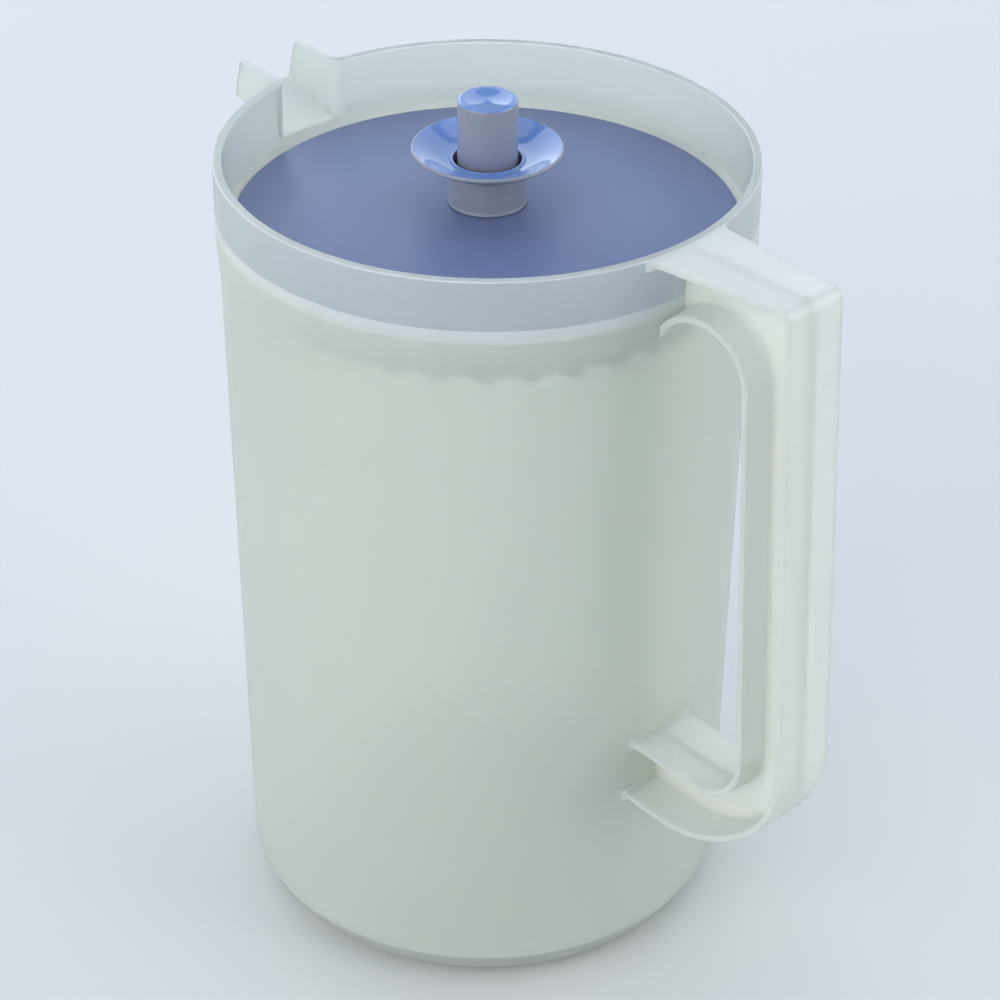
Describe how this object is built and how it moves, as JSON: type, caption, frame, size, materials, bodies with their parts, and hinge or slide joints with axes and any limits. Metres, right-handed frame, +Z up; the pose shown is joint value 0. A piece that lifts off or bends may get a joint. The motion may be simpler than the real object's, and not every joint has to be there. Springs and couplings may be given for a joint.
{
  "type": "lidded pitcher",
  "caption": "Tall round frosted jug with an I-beam handle and a channel spout, closed by a sunken domed lid with a push button standing in a saucer grip.",
  "frame": {"origin": "on the jug's axis at its base, where it stands", "axes": "+Z up along the jug's axis, +X from the axis towards the handle, -X towards the spout, +Y across"},
  "size_m": [0.2392, 0.1646, 0.2775],
  "materials": {
    "frosted_plastic": "frosted translucent, fine satin",
    "lid_plastic": "fine-grained satin",
    "seal_plastic": "soft natural plastic",
    "grip_plastic": "polished",
    "button_plastic": "satin side, polished dished top"
  },
  "bodies": {
    "jug": {"pitcher_body": "frosted_plastic"},
    "lid": {"lid_disc": "lid_plastic", "lid_seal": "seal_plastic", "grip_collar": "grip_plastic", "spring_web": "seal_plastic"},
    "button": {"push_button": "button_plastic"}
  },
  "joints": [
    {"name": "lid_lift", "type": "slide", "parent": "jug", "child": "lid", "axis": [0, 0, 1], "range_m": [0, 0.13]},
    {"name": "button_press", "type": "slide", "parent": "lid", "child": "button", "axis": [0, 0, -1], "range_m": [0, 0.008], "stiffness_N_per_m": 1200, "springref_m": -0.001, "deforming": ["spring_web"]}
  ]
}
